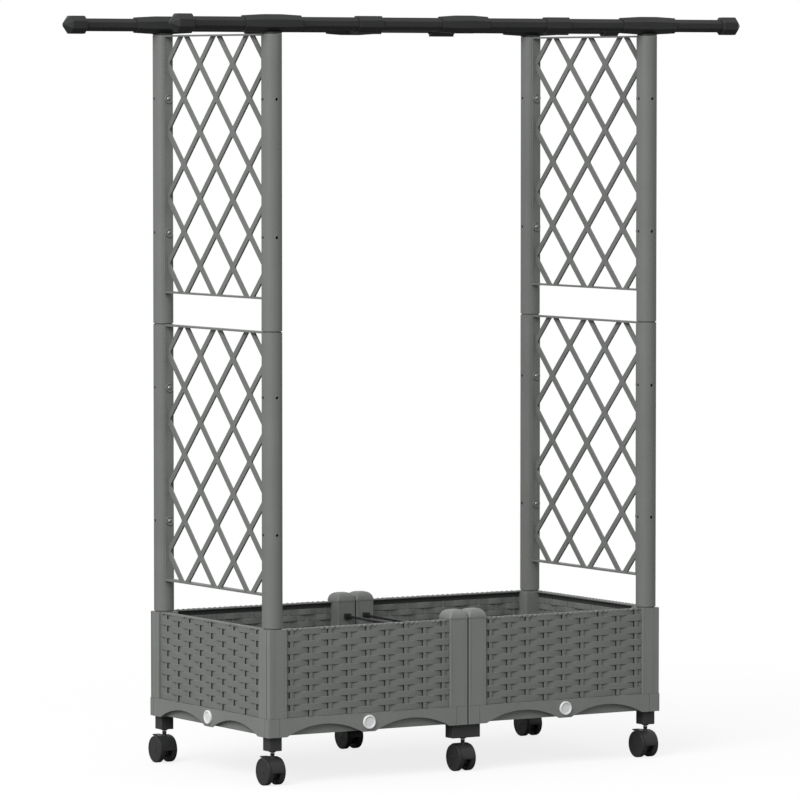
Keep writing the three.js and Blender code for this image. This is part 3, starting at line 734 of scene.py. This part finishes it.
def weave():
    """One face of a panel: strands that bow out over one stake and dip under the next, its sideways
    faces, mostly the stakes' sides, in near-black painted shade.
    """
    net = Grower(
        "weave",
        ("Look", "Painted_Shade"),
        Length=300.0,
        Strands=14,
        Strand_Pitch=ROW_PITCH,
        Strand_Gap=-0.3,
        Strand_Thickness=2.6,
        Stake_Pitch=STAKE_PITCH,
        Stakes=STAKES,
        Stake_Width=STAKE_WIDTH,
        Stake_Thickness=3.0,
        Stake_Behind=0.6,
        Relief=RELIEF,
        Bow_Share=0.86,
        Bow_Power=2.4,
        Phase=0.0,
        Swell=0.03,
        Drop=1.0,
        Painted_Shade_Turn=0.8,
    )
    length, pitch = net["Length"], net["Strand_Pitch"]
    steps = net.math("ROUND", length / net["Stake_Pitch"] * 16)
    profile = net.slab(net["Strand_Thickness"], pitch - net["Strand_Gap"], 0.7, 2)
    straight = net.bar(net.vector(length * -0.5), net.vector(length * 0.5), steps, profile)

    def strand(phase):
        """Its dips are two stakes apart, and it is broadest and highest between them."""
        x, _, z = net.parts(net.node("GeometryNodeInputPosition"))
        turn = x / (net["Stake_Pitch"] * 2) + net["Phase"] + phase
        away = net.math("ABSOLUTE", net.math("FRACT", turn) * 2 - 1)
        dip = net.math("MINIMUM", away / net["Bow_Share"], 1.0) ** net["Bow_Power"]
        back = dip * net["Relief"] + net["Strand_Thickness"] * 0.5
        offset = net.vector(0.0, back, z * (1 - dip * 2) * net["Swell"] - dip * net["Drop"])
        return net.node("GeometryNodeSetPosition", {"Geometry": straight, "Offset": offset})

    rows = [
        net.repeat(
            strand(phase),
            net.math("CEIL", (net["Strands"] - row) / 2),
            net.vector(z=pitch * (row + 0.5)),
            net.vector(z=pitch * 2),
        )
        for row, phase in ((0, 0.5), (1, 0.0))
    ]
    thickness = net["Stake_Thickness"]
    stake = net.bar(
        net.vector(),
        net.vector(z=pitch * net["Strands"]),
        1,
        net.slab(net["Stake_Width"], thickness, 0.9, 3),
    )
    stake = net.place(stake, net.vector(0.0, net["Stake_Behind"] + thickness * 0.5))
    first = net["Stake_Pitch"] * (net["Stakes"] - 1) * -0.5
    stakes = net.repeat(stake, net["Stakes"], net.vector(first), net.vector(net["Stake_Pitch"]))
    # Faces turned sideways, mostly the stakes' sides, take the second material: painted shade
    sideways, _, _ = net.parts(net.node("GeometryNodeInputNormal"))
    painted_shade_faces = net.math("GREATER_THAN", net.math("ABSOLUTE", sideways), net["Painted_Shade_Turn"])
    net.end(net.join(*rows, stakes), painted_shade_faces)
    return net


def rim():
    """The twisted cord along a panel's top outer edge."""
    net = Grower("rim_cord", Length=300.0, Twist_Pitch=11.0, Twist_Length=13.0, Cord=3.4)
    bead = net.node("GeometryNodeMeshUVSphere", {"Segments": 16, "Rings": 8, "Radius": 0.5})
    size = net.vector(net["Twist_Length"], net["Cord"], net["Cord"])
    bead = net.node(
        "GeometryNodeTransform", {"Geometry": bead, "Rotation": (0.0, -0.32, 0.25), "Scale": size}
    )
    count = net.math("FLOOR", net["Length"] / net["Twist_Pitch"])
    start = (count - 1) * net["Twist_Pitch"] * -0.5
    net.end(net.repeat(bead, count, net.vector(start), net.vector(net["Twist_Pitch"])))
    return net


weave_net, rim_net = weave(), rim()


def panel(length, stake_pitch, lap, open_side):
    """The panel runs along X with its outside to -Y, its posts' outer faces at y = 0.

    Its weave laps over the posts at both ends, and its boxes of painted shade beside the stakes are
    wider on one side of them.
    """
    half = length / 2
    outer = weave_net.grow(
        strand_grey, painted_shade_grey, Length=length + 2 * lap, Stake_Pitch=stake_pitch
    )
    inner = weave_net.grow(
        strand_grey,
        painted_shade_grey,
        Length=length - 2 * FIT,
        Stake_Pitch=stake_pitch,
        Strands=13,
        Strand_Gap=0.35,
        Stake_Behind=2.4,
        Stake_Thickness=2.0,
        Relief=3.4,
        Bow_Share=0.46,
        Bow_Power=2.0,
        Phase=0.5,
        Swell=0.0,
        Drop=0.0,
    )
    cord = rim_net.grow(strand_grey, Length=length + 2 * lap)
    top = WALL_HEIGHT - FIT
    levels = (FIT, top - 1)
    # A core sheet and, beside each stake, a box, all coloured near-black as painted shade
    dark = [box((-half - TONGUE, half + TONGUE), (CORE_FRONT, CORE_BACK), levels)]
    edge = STAKE_WIDTH / 2
    for i in range(STAKES):
        x = (i - (STAKES - 1) / 2) * stake_pitch
        ends = (x + open_side * (edge + SLOT_WIDTH), x - open_side * (edge + NARROW_SLOT))
        depths = (CREST + RELIEF - SLOT_RISE, CORE_FRONT + SLOT_OVERLAP)
        dark.append(box(sorted(ends), depths, levels))
    dark = joined(*dark)
    for face in dark.polygons:
        face.material_index = 1
    profile = rounded(
        [
            (LIP_FRONT, 0, 0.8),
            (LIP_BACK, 0, 0.8),
            (LIP_BACK, LIP_HEIGHT, 1),
            (LIP_FRONT, LIP_HEIGHT, 0.8),
        ],
        3,
    )
    base = top - LIP_HEIGHT
    lip = loft([[(x, y, base + z) for y, z in profile] for x in (FIT - half, half - FIT)])
    return joined(
        moved(outer, at(0, CREST, FIT)),
        moved(inner, Matrix.Translation((0, INNER_CREST, FIT)) @ Matrix.Scale(-1, 4, (0, 1, 0))),
        moved(cord, at(0, CREST + CORD_SETBACK, top - CORD_DROP)),
        dark,
        lip,
    )


long_panel = panel(LONG_PANEL, STAKE_PITCH, -FIT, -1)
side_panel = panel(SIDE_PANEL, SIDE_STAKE_PITCH, REBATE_WIDTH - FIT, 1)
for name, x, y in CORNERS:
    turn = 0 if y < 0 else math.pi
    place = at(x * LONG_PANEL_X, y * HALF_DEPTH, TRAY_TOP, turn)
    grey(f"woven_{name}", long_panel, [strand_grey, painted_shade_grey], place, f"panel_{name}")
for side, name in ((-1, "left"), (1, "right")):
    place = at(side * HALF_LENGTH, 0, TRAY_TOP, side * math.pi / 2)
    grey(f"woven_{name}", side_panel, [strand_grey, painted_shade_grey], place, f"panel_{name}")

# --------------------------------------------------------------------
# Tie rods
# --------------------------------------------------------------------

ROD_RADIUS, ROD_REACH, ROD_LEVEL = 2.5, 187, 250
COLLAR_ACROSS, COLLAR_LENGTH, COLLAR_REACH = 11, 9, 177 - FIT

rod = lathe([(ROD_RADIUS, -ROD_REACH), (ROD_RADIUS, ROD_REACH)], 24)
collar_outline = rounded_box(COLLAR_ACROSS, COLLAR_ACROSS, 1.2, 3)
collar_ends = [(y * COLLAR_REACH, y * (COLLAR_REACH - COLLAR_LENGTH)) for y in (-1, 1)]
collars = [eased(prism(collar_outline, *sorted(ends)), 0.5) for ends in collar_ends]
tie_rod = joined(rod, *collars)
for x, name in ((-1, "left"), (1, "right")):
    place = at(x * MIDDLE_POST_X, 0, ROD_LEVEL) @ ALONG_Y
    piece(f"rod_{name}", tie_rod, rod_black, "planter", [f"tie_rod_{name}"], place)

# --------------------------------------------------------------------
# Tubes
# --------------------------------------------------------------------


def drilled_tube():
    """A tube, closed below, with two levels of cross-drilled holes."""
    net = Grower(
        "drilled_tube",
        Radius=TUBE_RADIUS,
        Wall=float(TUBE_WALL),
        Length=TUBE_LENGTH - FIT,
        Hole=HOLE_DIAMETER,
        Low_Hole=float(LOW_HOLE),
        High_Hole=float(HIGH_HOLE),
        Side=1.0,
        Undercut=1.8,
        Undercut_Height=2.0,
    )
    kind = "GeometryNodeMeshCylinder"
    length, floor, start = net["Length"], net["Wall"], net["Undercut_Height"]
    outside = net.node(kind, {"Vertices": 72, "Radius": net["Radius"], "Depth": length - start})
    outside = net.place(outside, net.vector(z=(length + start) * 0.5))
    narrow = net["Radius"] - net["Undercut"]
    neck = net.node(kind, {"Vertices": 72, "Radius": narrow, "Depth": start * 2})
    outside = net.boolean("UNION", outside, net.place(neck, net.vector(z=start)))
    bore = net["Radius"] - net["Wall"]
    inside = net.node(kind, {"Vertices": 72, "Radius": bore, "Depth": length})
    inside = net.place(inside, net.vector(z=length * 0.5 + floor))
    drill = net.node(kind, {"Vertices": 24, "Radius": net["Hole"] * 0.5, "Depth": net["Radius"]})
    across = net.place(drill, net.vector(net["Radius"] * -1), (0, math.pi / 2, 0))
    along = net.place(drill, net.vector(0.0, net["Radius"] * net["Side"]), (math.pi / 2, 0, 0))
    drills = net.join(across, along)
    levels = [net.place(drills, net.vector(z=net[hole])) for hole in ("Low_Hole", "High_Hole")]
    net.end(net.boolean("DIFFERENCE", outside, inside, *levels))
    return net


tube_net = drilled_tube()
tubes = {y: eased(tube_net.grow(tube_grey, Side=float(y)), 0.4, 60) for y in (-1, 1)}
for name, x, y in CORNERS:
    for section, z in (("lower", WALL_TOP), ("upper", WALL_TOP + TUBE_LENGTH)):
        place = at(x * POST_X, y * POST_Y, z)
        grey(f"tube_{section}_{name}", tubes[y], tube_grey, place, f"{section}_tube_{name}")

# --------------------------------------------------------------------
# Trellis
# --------------------------------------------------------------------

BOSS_RADIUS, BOSS_RISE, STRIP = 8, 2.4, 3
SCREW_SUNK = 1.3
FIELD_DEPTH, CUT_DEPTH = 20.0, 40.0  # both deeper than the frame's strips


def lattice():
    """A flat frame filled with bars that lean both ways and cross in one plane."""
    net = Grower(
        "lattice",
        Half_Width=TRELLIS_HALF,
        Height=float(TRELLIS_HEIGHT),
        Strip_Width=17.0,
        Strip_Thickness=float(STRIP),
        Bar_Width=10.4,
        Bar_Thickness=3.2,
        Columns=3,
        Crossing_Pitch=120.5,
        Crossing_Size=17.3,
    )
    width, height, strip = net["Half_Width"] * 2, net["Height"], net["Strip_Thickness"]
    column = width / net["Columns"]
    lean = net.math("ARCTAN2", net["Crossing_Pitch"], column)
    reach = net.math("CEIL", (height + width) / column * 0.5)
    bar = net.box(net.vector(net["Bar_Thickness"], (height + width) * 2, net["Bar_Width"]))
    bars = [
        net.repeat(
            net.place(bar, (0, 0, 0), net.vector(lean * way)),
            reach * 2 + 1,
            net.vector(0.0, reach * column * -1),
            net.vector(0.0, column),
        )
        for way in (-1, 1)
    ]
    knot = net.box(net.vector(net["Bar_Thickness"], net["Crossing_Size"], net["Crossing_Size"]))
    rise = net["Crossing_Pitch"]
    for shift in (0.0, 0.5):
        row = net.repeat(knot, 4, net.vector(0.0, column * (shift - 2)), net.vector(0.0, column))
        bars.append(net.repeat(row, 5, net.vector(z=rise * (shift - 2)), net.vector(z=rise)))
    bars = net.node("GeometryNodeRealizeInstances", {"Geometry": net.join(*bars)})
    field = net.box(net.vector(FIELD_DEPTH, width - 1.0, height - 1.0))
    outer = net.box(net.vector(net["Strip_Width"], width, height))
    inner = net.box(net.vector(CUT_DEPTH, width - strip * 2, height - strip * 2))
    bars = net.boolean("INTERSECT", field, bars)
    frame_shape = net.boolean("DIFFERENCE", outer, inner)
    whole = net.boolean("UNION", frame_shape, bars)
    net.end(net.place(whole, net.vector(z=height * 0.5)))
    return net


def screws():
    """Pan heads with a cross recess, one on each boss of a trellis."""
    net = Grower("trellis_screws", Head=7.6, Rise=2.3, Slot=1.1, Face=170.0, Low=109.0, High=351.0)
    head = net.node("GeometryNodeMeshUVSphere", {"Segments": 32, "Rings": 16, "Radius": 0.5})
    size = net.vector(net["Head"], net["Head"], net["Rise"] * 2)
    head = net.node("GeometryNodeTransform", {"Geometry": head, "Scale": size})
    slot = net.box(net.vector(net["Head"] * 0.62, net["Slot"], net["Rise"]))
    slots = [
        net.place(slot, net.vector(z=net["Rise"]), (0, 0, turn))
        for turn in (math.pi / 4, -math.pi / 4)
    ]
    head = net.boolean("DIFFERENCE", head, *slots)
    placed = []
    for side in (-1, 1):
        turned = net.place(head, net.vector(0.0, net["Face"] * side), (side * math.pi / 2, 0, 0))
        step = net.vector(z=net["High"] - net["Low"])
        placed.append(net.repeat(turned, 2, net.vector(z=net["Low"]), step))
    net.end(net.join(*placed))
    return net


BOSS_OUTLINE = [
    (4.4, 1.6),
    (4.4, BOSS_RISE - 0.9),
    (6.2, BOSS_RISE - 0.9),
    (6.7, BOSS_RISE - 0.2),
    (7.2, BOSS_RISE),
    (7.7, BOSS_RISE - 0.2),
    (BOSS_RADIUS, BOSS_RISE - 0.8),
    (BOSS_RADIUS, -1),
]
boss = lathe(BOSS_OUTLINE)
bosses = []
for side in (-1, 1):
    for hole in (LOW_HOLE, HIGH_HOLE):
        place = Matrix.Translation((0, side * (TRELLIS_HALF - STRIP), hole - TRELLIS_GAP))
        bosses.append(moved(boss, place @ Matrix.Rotation(side * math.pi / 2, 4, "X")))
trellis = joined(eased(lattice().grow(trellis_grey), 0.45), *bosses)
screw_heads = joined(
    screws().grow(
        screw_steel,
        Face=TRELLIS_HALF - STRIP - BOSS_RISE + SCREW_SUNK,
        Low=float(LOW_HOLE - TRELLIS_GAP),
        High=float(HIGH_HOLE - TRELLIS_GAP),
    )
)
for section, z in (("lower", WALL_TOP), ("upper", WALL_TOP + TUBE_LENGTH)):
    for side, end in ((-1, "left"), (1, "right")):
        place = at(side * POST_X, 0, z + TRELLIS_GAP)
        grey(f"lattice_{section}_{end}", trellis, trellis_grey, place, f"trellis_{section}_{end}")
        piece(f"trellis_screws_{section}_{end}", screw_heads, screw_steel, "planter", place=place)

# --------------------------------------------------------------------
# Top frame
# --------------------------------------------------------------------

TEE_LENGTH, TEE_FLAT = 115, 34
COUPLER_LENGTH, MIDDLE_LENGTH = 50, 98
PORT_LENGTH = 30
CAP_LENGTH, CAP_ACROSS = 43.5, 32.5
RAIL_HALF = 600
RAIL_END = POST_X - RAIL_HALF
OVERLAP = 4  # of a pipe in its socket


def sleeve(length, middle, flat):
    """A socket piece about the pipe, rounded at its mouths and thickest in the middle."""
    half = length / 2
    outline = [(PIPE_ACROSS + 1, -half), (SOCKET_ACROSS - 0.8, -half), (SOCKET_ACROSS, 0.8 - half)]
    if flat:
        outline.append((middle, -flat / 2))
    mirrored = [(across, -z) for across, z in reversed(outline)]
    return octagonal(outline + mirrored)


def pipe(start, end):
    return octagonal([(PIPE_ACROSS, start), (PIPE_ACROSS, end)])


def rounded_parts(*parts, width=0.7):
    return joined(*(eased(part, width, 20) for part in parts))


CAP_OUTLINE = [
    (4, 0),
    (8, 0.9),
    (31, 11.8),
    (32.2, 12.8),
    (CAP_ACROSS, 14),
    (CAP_ACROSS, 39.6),
    (30.8, 42),
    (26, CAP_LENGTH),
]
TUBE_COLLAR = [
    (14, -18),
    (TUBE_RADIUS - 0.4, -18),
    (TUBE_RADIUS, -17.6),
    (TUBE_RADIUS, -15.5),
    (TUBE_RADIUS - 0.5, -15),
    (8, -15),
]
end_cap = octagonal(CAP_OUTLINE)
collar = lathe(TUBE_COLLAR, 64)
rail_end = joined(
    rounded_parts(
        sleeve(TEE_LENGTH, TEE_ACROSS, TEE_FLAT),
        pipe(RAIL_END + CAP_LENGTH - OVERLAP, -TEE_LENGTH / 2 + OVERLAP),
        moved(end_cap, at(0, 0, RAIL_END)),
    ),
)
for name, x, y in CORNERS:
    turned = moved(rail_end, Matrix.Rotation(0 if x < 0 else math.pi, 4, "Z") @ ALONG_X)
    place = at(x * POST_X, y * POST_Y, RAIL_LEVEL)
    black(f"tee_and_cap_{name}", joined(turned, collar), rail_black, place, f"rail_end_{name}")

coupler = joined(
    moved(rounded_parts(sleeve(COUPLER_LENGTH, SOCKET_ACROSS, 0)), ALONG_X),
    eased(box((-COUPLER_LENGTH / 2, COUPLER_LENGTH / 2), (-4, 4), (-18, -12)), 0.8),
)
inner_reach = POST_X - TEE_LENGTH / 2 + OVERLAP
PORT_OUTLINE = [
    (SOCKET_ACROSS, 0),
    (SOCKET_ACROSS, PORT_LENGTH - 0.8),
    (SOCKET_ACROSS - 0.8, PORT_LENGTH),
    (PIPE_ACROSS + 1, PORT_LENGTH),
]
port = octagonal(PORT_OUTLINE)
inner_rail = joined(
    moved(rounded_parts(pipe(-inner_reach, inner_reach)), ALONG_X),
    moved(rounded_parts(sleeve(MIDDLE_LENGTH, TEE_ACROSS, TEE_FLAT)), ALONG_X),
    moved(rounded_parts(port), ALONG_Y),
    *(moved(coupler, at(x * POST_X / 2, 0, 0)) for x in (-1, 1)),
)
black("rail_front", inner_rail, rail_black, at(0, -POST_Y, RAIL_LEVEL), "front_rail")
black("rail_back", inner_rail, rail_black, at(0, POST_Y, RAIL_LEVEL, math.pi), "back_rail")
cross_reach = POST_Y - PORT_LENGTH + 6
cross = moved(rounded_parts(pipe(-cross_reach, cross_reach)), ALONG_Y)
black("pipe_across", cross, cross_black, at(0, 0, RAIL_LEVEL), "cross_pipe")

# --------------------------------------------------------------------
# Feet
# --------------------------------------------------------------------

FOOT_WIDTH, MIDDLE_FOOT, FOOT_HEIGHT = 25, 59, 24.2


def foot(length):
    block = eased(prism(rounded_box(length, FOOT_WIDTH, 1.4, 4), 0, FOOT_HEIGHT), 0.8, 60)
    cone = lathe([(4.2, -3), (4.6, -2.8), (8.2, 0.2), (8.5, 0.5)], 40)
    return joined(block, cone)


for name, x, y in CORNERS:
    place = at(x * POST_X, y * POST_Y, FOOT_BOTTOM)
    black(f"socket_foot_{name}", foot(FOOT_WIDTH), foot_black, place, f"foot_{name}")
for y, name in ((-1, "front"), (1, "back")):
    place = at(0, y * POST_Y, FOOT_BOTTOM)
    black(f"socket_foot_{name}_middle", foot(MIDDLE_FOOT), foot_black, place, f"foot_{name}_middle")

# --------------------------------------------------------------------
# Casters
# --------------------------------------------------------------------

HOOD_INNER, HOOD_OUTER = 24.9, 26.1
HOOD_HALF = 13
HOOD_FRONT, HOOD_BACK = -3, -14
BARREL_Y, BARREL_Z, BARREL_RADIUS = 16, 48.904, 1.6
PEDAL_TILT, PEDAL_HALF, SLOT_HALF = -6, 5, 5.3
RIDGES = (16.6, 13.8, 11)
NECK_OUTLINE = [
    (6, 47.4),
    (4.8, 49.4),
    (4.2, 50.2),
    (4, 50.8),
    (4, 52.6),
    (3.2, 53),
    (3.2, 53.9),
    (4, 54.3),
    (4, 56.6),
    (3.6, 57.2),
]
PIN_OUTLINE = [(2.5, 57.1), (2.5, 61)]
WHEEL_SIDE = [
    (3, 3.5),
    (6, 3.5),
    (6.6, 7.4),
    (23.4, 7.4),
    (24.2, 7.8),
    (WHEEL_RADIUS, 8.6),
    (WHEEL_RADIUS, 15.8),
    (24.2, 16.7),
    (23.4, CASTER_HALF),
    (22.6, CASTER_HALF),
    (22.2, 16.5),
    (5.4, 16.5),
    (4.8, 16.9),
    (1.2, 17),
]


def hood(braked):
    """The hood over both treads, its web between the wheels, and the neck with its ring groove."""
    centre = (WHEEL_TRAIL, WHEEL_RADIUS)
    outline = arc(centre, HOOD_OUTER, HOOD_BACK, 180 - HOOD_FRONT, 56)
    outline += arc(centre, HOOD_INNER, 180 - HOOD_FRONT, HOOD_BACK, 56)
    shell = loft([[(x, y, z) for y, z in outline] for x in (-HOOD_HALF, HOOD_HALF)])
    tools = []
    if braked:
        opening = (BARREL_Y - 1.9, BARREL_Y + 8), (BARREL_Z - 8, BARREL_Z + 3.2)
        tools = [box((-SLOT_HALF, SLOT_HALF), *opening)]
    shell = eased(carved(shell, tools), 0.35, 50)
    web = moved(lathe([(16, -4), (16, 4)], 48), Matrix.Translation((0, *centre)) @ ALONG_X)
    bridge = box((-4, 4), (WHEEL_TRAIL - 13, WHEEL_TRAIL + 8), (WHEEL_RADIUS + 9, 46.4))
    return joined(shell, web, bridge, lathe(NECK_OUTLINE, 40))


def wheel_pair():
    """Two broad discs with a narrow light rim ring about a flat face, on one axle."""
    outline = [(r, -x) for r, x in reversed(WHEEL_SIDE)] + WHEEL_SIDE
    axle = Matrix.Translation((0, WHEEL_TRAIL, WHEEL_RADIUS)) @ ALONG_X
    return moved(lathe(outline, 72), axle)


def brake():
    """The pedal with grip ridges, its barrel at the hinge's axis."""
    top = BARREL_RADIUS
    outline = arc((0, 0), BARREL_RADIUS, 90, 270, 10)
    outline += [(19.2, -0.4), (20, 0.2), (20, 1.2), (19.4, top)]
    for y in RIDGES:
        outline += [(y + 0.9, top), (y + 0.6, top + 0.5), (y - 0.6, top + 0.5), (y - 0.9, top)]
    ends = (-PEDAL_HALF, PEDAL_HALF)
    pedal = eased(loft([[(x, y, z) for y, z in outline] for x in ends]), 0.3, 50)
    tilt = Matrix.Rotation(math.radians(PEDAL_TILT), 4, "X")
    return moved(pedal, Matrix.Translation((0, BARREL_Y, BARREL_Z)) @ tilt)


caster_pin = lathe(PIN_OUTLINE, 32)
wheels_mesh, brake_mesh = wheel_pair(), brake()
casters = [(name, x * POST_X, y * POST_Y, True) for name, x, y in CORNERS]
casters += [("front_middle", 0, -POST_Y, False), ("back_middle", 0, POST_Y, False)]
for name, x, y, braked in casters:
    place, caster = at(x, y, 0), f"caster_{name}"
    body, wheels, lever = f"{caster}_body", f"{caster}_wheels", f"{caster}_brake"
    hood_mesh = hood(braked)
    piece(f"{caster}_hood", hood_mesh, caster_black, caster, [body], place)
    piece(f"{caster}_pin", caster_pin, bright_steel, caster, place=place)
    name = f"{caster}_wheel_pair"
    piece(name, wheels_mesh, wheel_black, wheels, [wheels], place)
    if braked:
        name = f"{caster}_pedal"
        piece(name, brake_mesh, caster_black, lever, [lever], place)

# --------------------------------------------------------------------
# Camera, light and floor
# --------------------------------------------------------------------

LENS, CAMERA_PLACE = 250.22, (-5.2963, -8.6292, 1.2356)
SIGHT, PITCH = (0.5222, 0.8528, 0), 3.2567  # level direction, and degrees down from it
AMBIENT = 0.7
FLOOR_RADIUS, FLOOR_THICKNESS = 30000, 20
FADE_FROM, FADE_TO = 0.7, 2.2  # metres from the middle, where the floor turns plain white
FLOOR_SHADE, FLOOR_SHADE_SEEN = 0.25, 0.6
WHITE_SHARE, WHITE_SHARE_FAR = 0.82, 0.18

camera_data = bpy.data.cameras.new("camera")
camera_data.sensor_width = 36
camera_data.lens = LENS
camera = linked("camera", camera_data)
pitch = math.radians(PITCH)
aim = Vector(SIGHT).normalized() * math.cos(pitch) - Vector((0, 0, math.sin(pitch)))
camera.location = CAMERA_PLACE
camera.rotation_mode = "QUATERNION"
camera.rotation_quaternion = aim.to_track_quat("-Z", "Y")
camera_data.clip_end = 200
bpy.context.scene.camera = camera
bpy.context.scene.view_settings.view_transform = "Standard"


def lamp(name, place, target, size, power):
    data = bpy.data.lights.new(name, "AREA")
    data.shape, data.size, data.energy = "DISK", size, power
    light = linked(name, data)
    light.location = place
    light.rotation_mode = "QUATERNION"
    light.rotation_quaternion = (Vector(target) - Vector(place)).to_track_quat("-Z", "Y")


lamp("key", place=(-6.4, -3.6, 6.2), target=(0, 0, 0.5), size=6.0, power=780)

world = bpy.data.worlds.new("studio")
bpy.context.scene.world = world
net = cleared(world)
path = net.node("ShaderNodeLightPath")
bounced = net.math("MAXIMUM", path["Is Glossy Ray"], path["Is Transmission Ray"])
seen = net.math("MAXIMUM", path["Is Camera Ray"], bounced)
backdrop = net.node("ShaderNodeBackground", {"Color": (1, 1, 1, 1), "Strength": 1.0})
ambient = net.node("ShaderNodeBackground", {"Color": (1, 1, 1, 1), "Strength": AMBIENT})
mixed = net.node("ShaderNodeMixShader", {0: seen, 1: ambient, 2: backdrop})
net.node("ShaderNodeOutputWorld", {"Surface": mixed})

floor_mesh = lathe([(FLOOR_RADIUS, -FLOOR_THICKNESS), (FLOOR_RADIUS, 0)], 96)
floor_mesh.transform(Matrix.Scale(0.001, 4))
floor = linked("floor", floor_mesh)
look = bpy.data.materials.new("floor_pale")
net = cleared(look)
path = net.node("ShaderNodeLightPath")
spot = net.node("ShaderNodeTexCoord")["Object"]
away = net.node("ShaderNodeVectorMath", {0: spot}, operation="LENGTH")["Value"]
far = net.node(
    "ShaderNodeMapRange",
    {"Value": away, "From Min": FADE_FROM, "From Max": FADE_TO},
    interpolation_type="SMOOTHSTEP",
)
shade = path["Is Camera Ray"] * FLOOR_SHADE_SEEN + FLOOR_SHADE
matte = net.node("ShaderNodeBsdfDiffuse", {"Color": net.vector(shade, shade, shade)})
white = net.node("ShaderNodeEmission", {"Color": (1, 1, 1, 1), "Strength": 1.0})
share = path["Is Camera Ray"] * (far * WHITE_SHARE_FAR + WHITE_SHARE)
both = net.node("ShaderNodeMixShader", {0: share, 1: matte, 2: white})
net.node("ShaderNodeOutputMaterial", {"Surface": both})
floor_mesh.materials.append(look)
